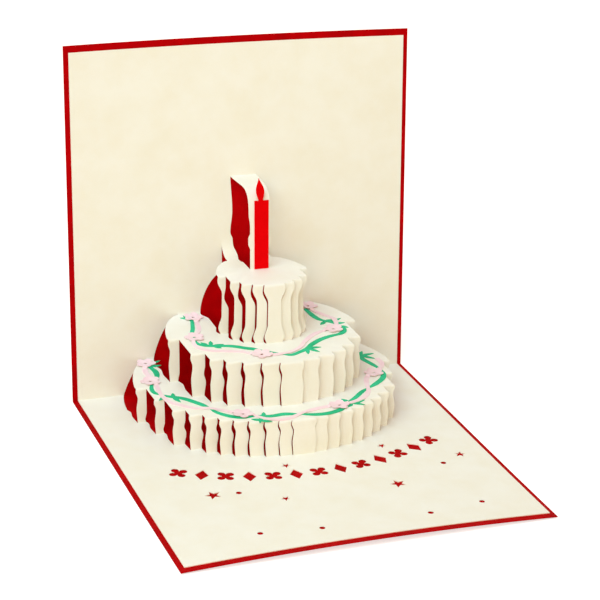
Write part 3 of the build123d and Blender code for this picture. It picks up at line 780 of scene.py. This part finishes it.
def garland_pair(title, tier, green_line, leaves, pink_line, flowers, eyes):
    """The green cut, then the pink one over it, which climbs wherever it is near a point of the green."""
    green = [ribbon(green_line, pink_line, green_width, green_thinnest)] + [leaf(*place) for place in leaves]
    flat, faces = cut_paper(green, (), garland_spacing)
    laid = glue_down(title + "_green_garland", tier, flat, faces, np.zeros(len(flat)),
                     leaf_paper, "green_paper")
    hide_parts(title + "_green_garland")
    centres = np.array([around(*place) for place in flowers])
    pink = [ribbon(pink_line, green_line, pink_width, pink_thinnest)]
    pink += [blossom(*centre, petal_reach, 5, math.radians(angle), petal_hollow)
             for centre, (angle, distance) in zip(centres, flowers)]
    over, faces = cut_paper(pink, eyes, garland_spacing)
    apart = np.clip((nearest(over, flat) - climb_near) / climb_run, 0.0, 1.0)
    climb = garland_thick * (1.0 - apart) ** 0.5
    reach = nearest(over, centres)
    petal = petal_lift * np.clip((reach - petal_start) / (petal_reach - petal_start), 0.0, 1.0)
    petal *= reach < petal_reach + 0.1
    laid = glue_down(title + "_pink_garland", tier, over, faces, climb + petal, petal_paper, "pink_paper")
    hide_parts(title + "_pink_garland")


garland_pair("lower", lower, lower_green, lower_leaves, lower_pink, lower_flowers, lower_eyes)
garland_pair("upper", middle, upper_green, upper_leaves, upper_pink, upper_flowers, upper_eyes)

# %% [markdown]
# ## Floor
# The card stands on a plain white floor, one large square just under it. A lit floor alone would come out
# grey, so it also glows, but only to the camera and in reflections, where it adds no light to the paper.

# %% Floor
floor_half, floor_drop, floor_glow = 4.0, 0.0002, 0.65


def seen_directly(tree):
    """Socket that is 1 for the camera's rays, also in a gloss or through a clear piece, and 0 for others."""
    rays = add_node(tree, "ShaderNodeLightPath", {})
    seen = add_node(tree, "ShaderNodeMath", {"operation": "MAXIMUM"},
                    [(0, rays.outputs["Is Camera Ray"]), (1, rays.outputs["Is Glossy Ray"])])
    seen = add_node(tree, "ShaderNodeMath", {"operation": "MAXIMUM"},
                    [(0, seen.outputs["Value"]), (1, rays.outputs["Is Transmission Ray"])])
    return seen.outputs["Value"]


floor_mesh = bpy.data.meshes.new("studio_floor")
floor_mesh.from_pydata([(x * floor_half, y * floor_half, -floor_drop)
                        for x, y in ((-1, -1), (1, -1), (1, 1), (-1, 1))], [], [(0, 1, 2, 3)])
floor = bpy.data.objects.new("studio_floor", floor_mesh)
bpy.context.scene.collection.objects.link(floor)
white = bpy.data.materials.new("white_studio_floor")
white.use_nodes = True
tree = white.node_tree
shader = tree.nodes["Principled BSDF"]
shader.inputs["Base Color"].default_value = paint("#E8E8E8")
shader.inputs["Roughness"].default_value = 0.9
shader.inputs["Emission Color"].default_value = (1.0, 1.0, 1.0, 1.0)
glow = add_node(tree, "ShaderNodeMath", {"operation": "MULTIPLY", 1: floor_glow}, [(0, seen_directly(tree))])
tree.links.new(glow.outputs["Value"], shader.inputs["Emission Strength"])
floor_mesh.materials.append(white)
print("floor of", 2 * floor_half, "m")

# %% [markdown]
# ## Sky
# An even, pale and warm sky lights the shadows, which are warm in the photo too. To the camera it is plain
# white, by the same switch as on the floor.

# %% Sky
sky_power, sky_tint = 0.63, "#FFE4AE"
world = bpy.data.worlds.new("studio_sky")
bpy.context.scene.world = world
world.use_nodes = True
tree = world.node_tree
sky = tree.nodes["Background"]
seen = seen_directly(tree)
power = add_node(tree, "ShaderNodeMapRange", {"To Min": sky_power, "To Max": 1.0}, [("Value", seen)])
tree.links.new(power.outputs["Result"], sky.inputs["Strength"])
tint = add_node(tree, "ShaderNodeMix", {"data_type": "RGBA", 6: paint(sky_tint), 7: (1.0, 1.0, 1.0, 1.0)},
                [(0, seen)])
tree.links.new(tint.outputs[2], sky.inputs["Color"])
print("sky at", sky_power, "of the light of white")

# %% [markdown]
# ## Lamps
# A large, slightly cool lamp at the upper left is the main light. Two weak ones correct it. A warm one at
# the front left lights the strips that the main lamp only grazes, and a blue one overhead keeps the base and
# the cake tops from turning yellow.

# %% Lamps
def lamp(name, place, aim, size, watts, colour):
    """Square area lamp: its minus Z points from its place to its aim."""
    light = bpy.data.lights.new(name, "AREA")
    light.size, light.energy, light.color = size, watts, paint(colour)[:3]
    back = np.array(place, float) - np.array(aim, float)
    back /= np.linalg.norm(back)
    right = np.cross((0.0, 0.0, 1.0), back)
    right /= np.linalg.norm(right)
    source = bpy.data.objects.new(name, light)
    turn = Matrix(np.column_stack([right, np.cross(back, right), back]).tolist()).to_4x4()
    source.matrix_world = Matrix.Translation(place) @ turn
    bpy.context.scene.collection.objects.link(source)


cake_place, base_place = (0.0, 0.02, 0.04), (0.0, -0.02, 0.0)
lamp("key_lamp", (-0.70, -0.50, 1.05), cake_place, size=1.0, watts=12.8, colour="#D1EEF8")
lamp("fill_lamp", (-0.55, -1.0, 0.30), cake_place, size=0.5, watts=1.6, colour="#FFBC68")
lamp("sky_lamp", (0.0, -0.10, 1.30), base_place, size=0.8, watts=2.4, colour="#6A9CFF")
bpy.context.scene.view_settings.view_transform = "Standard"
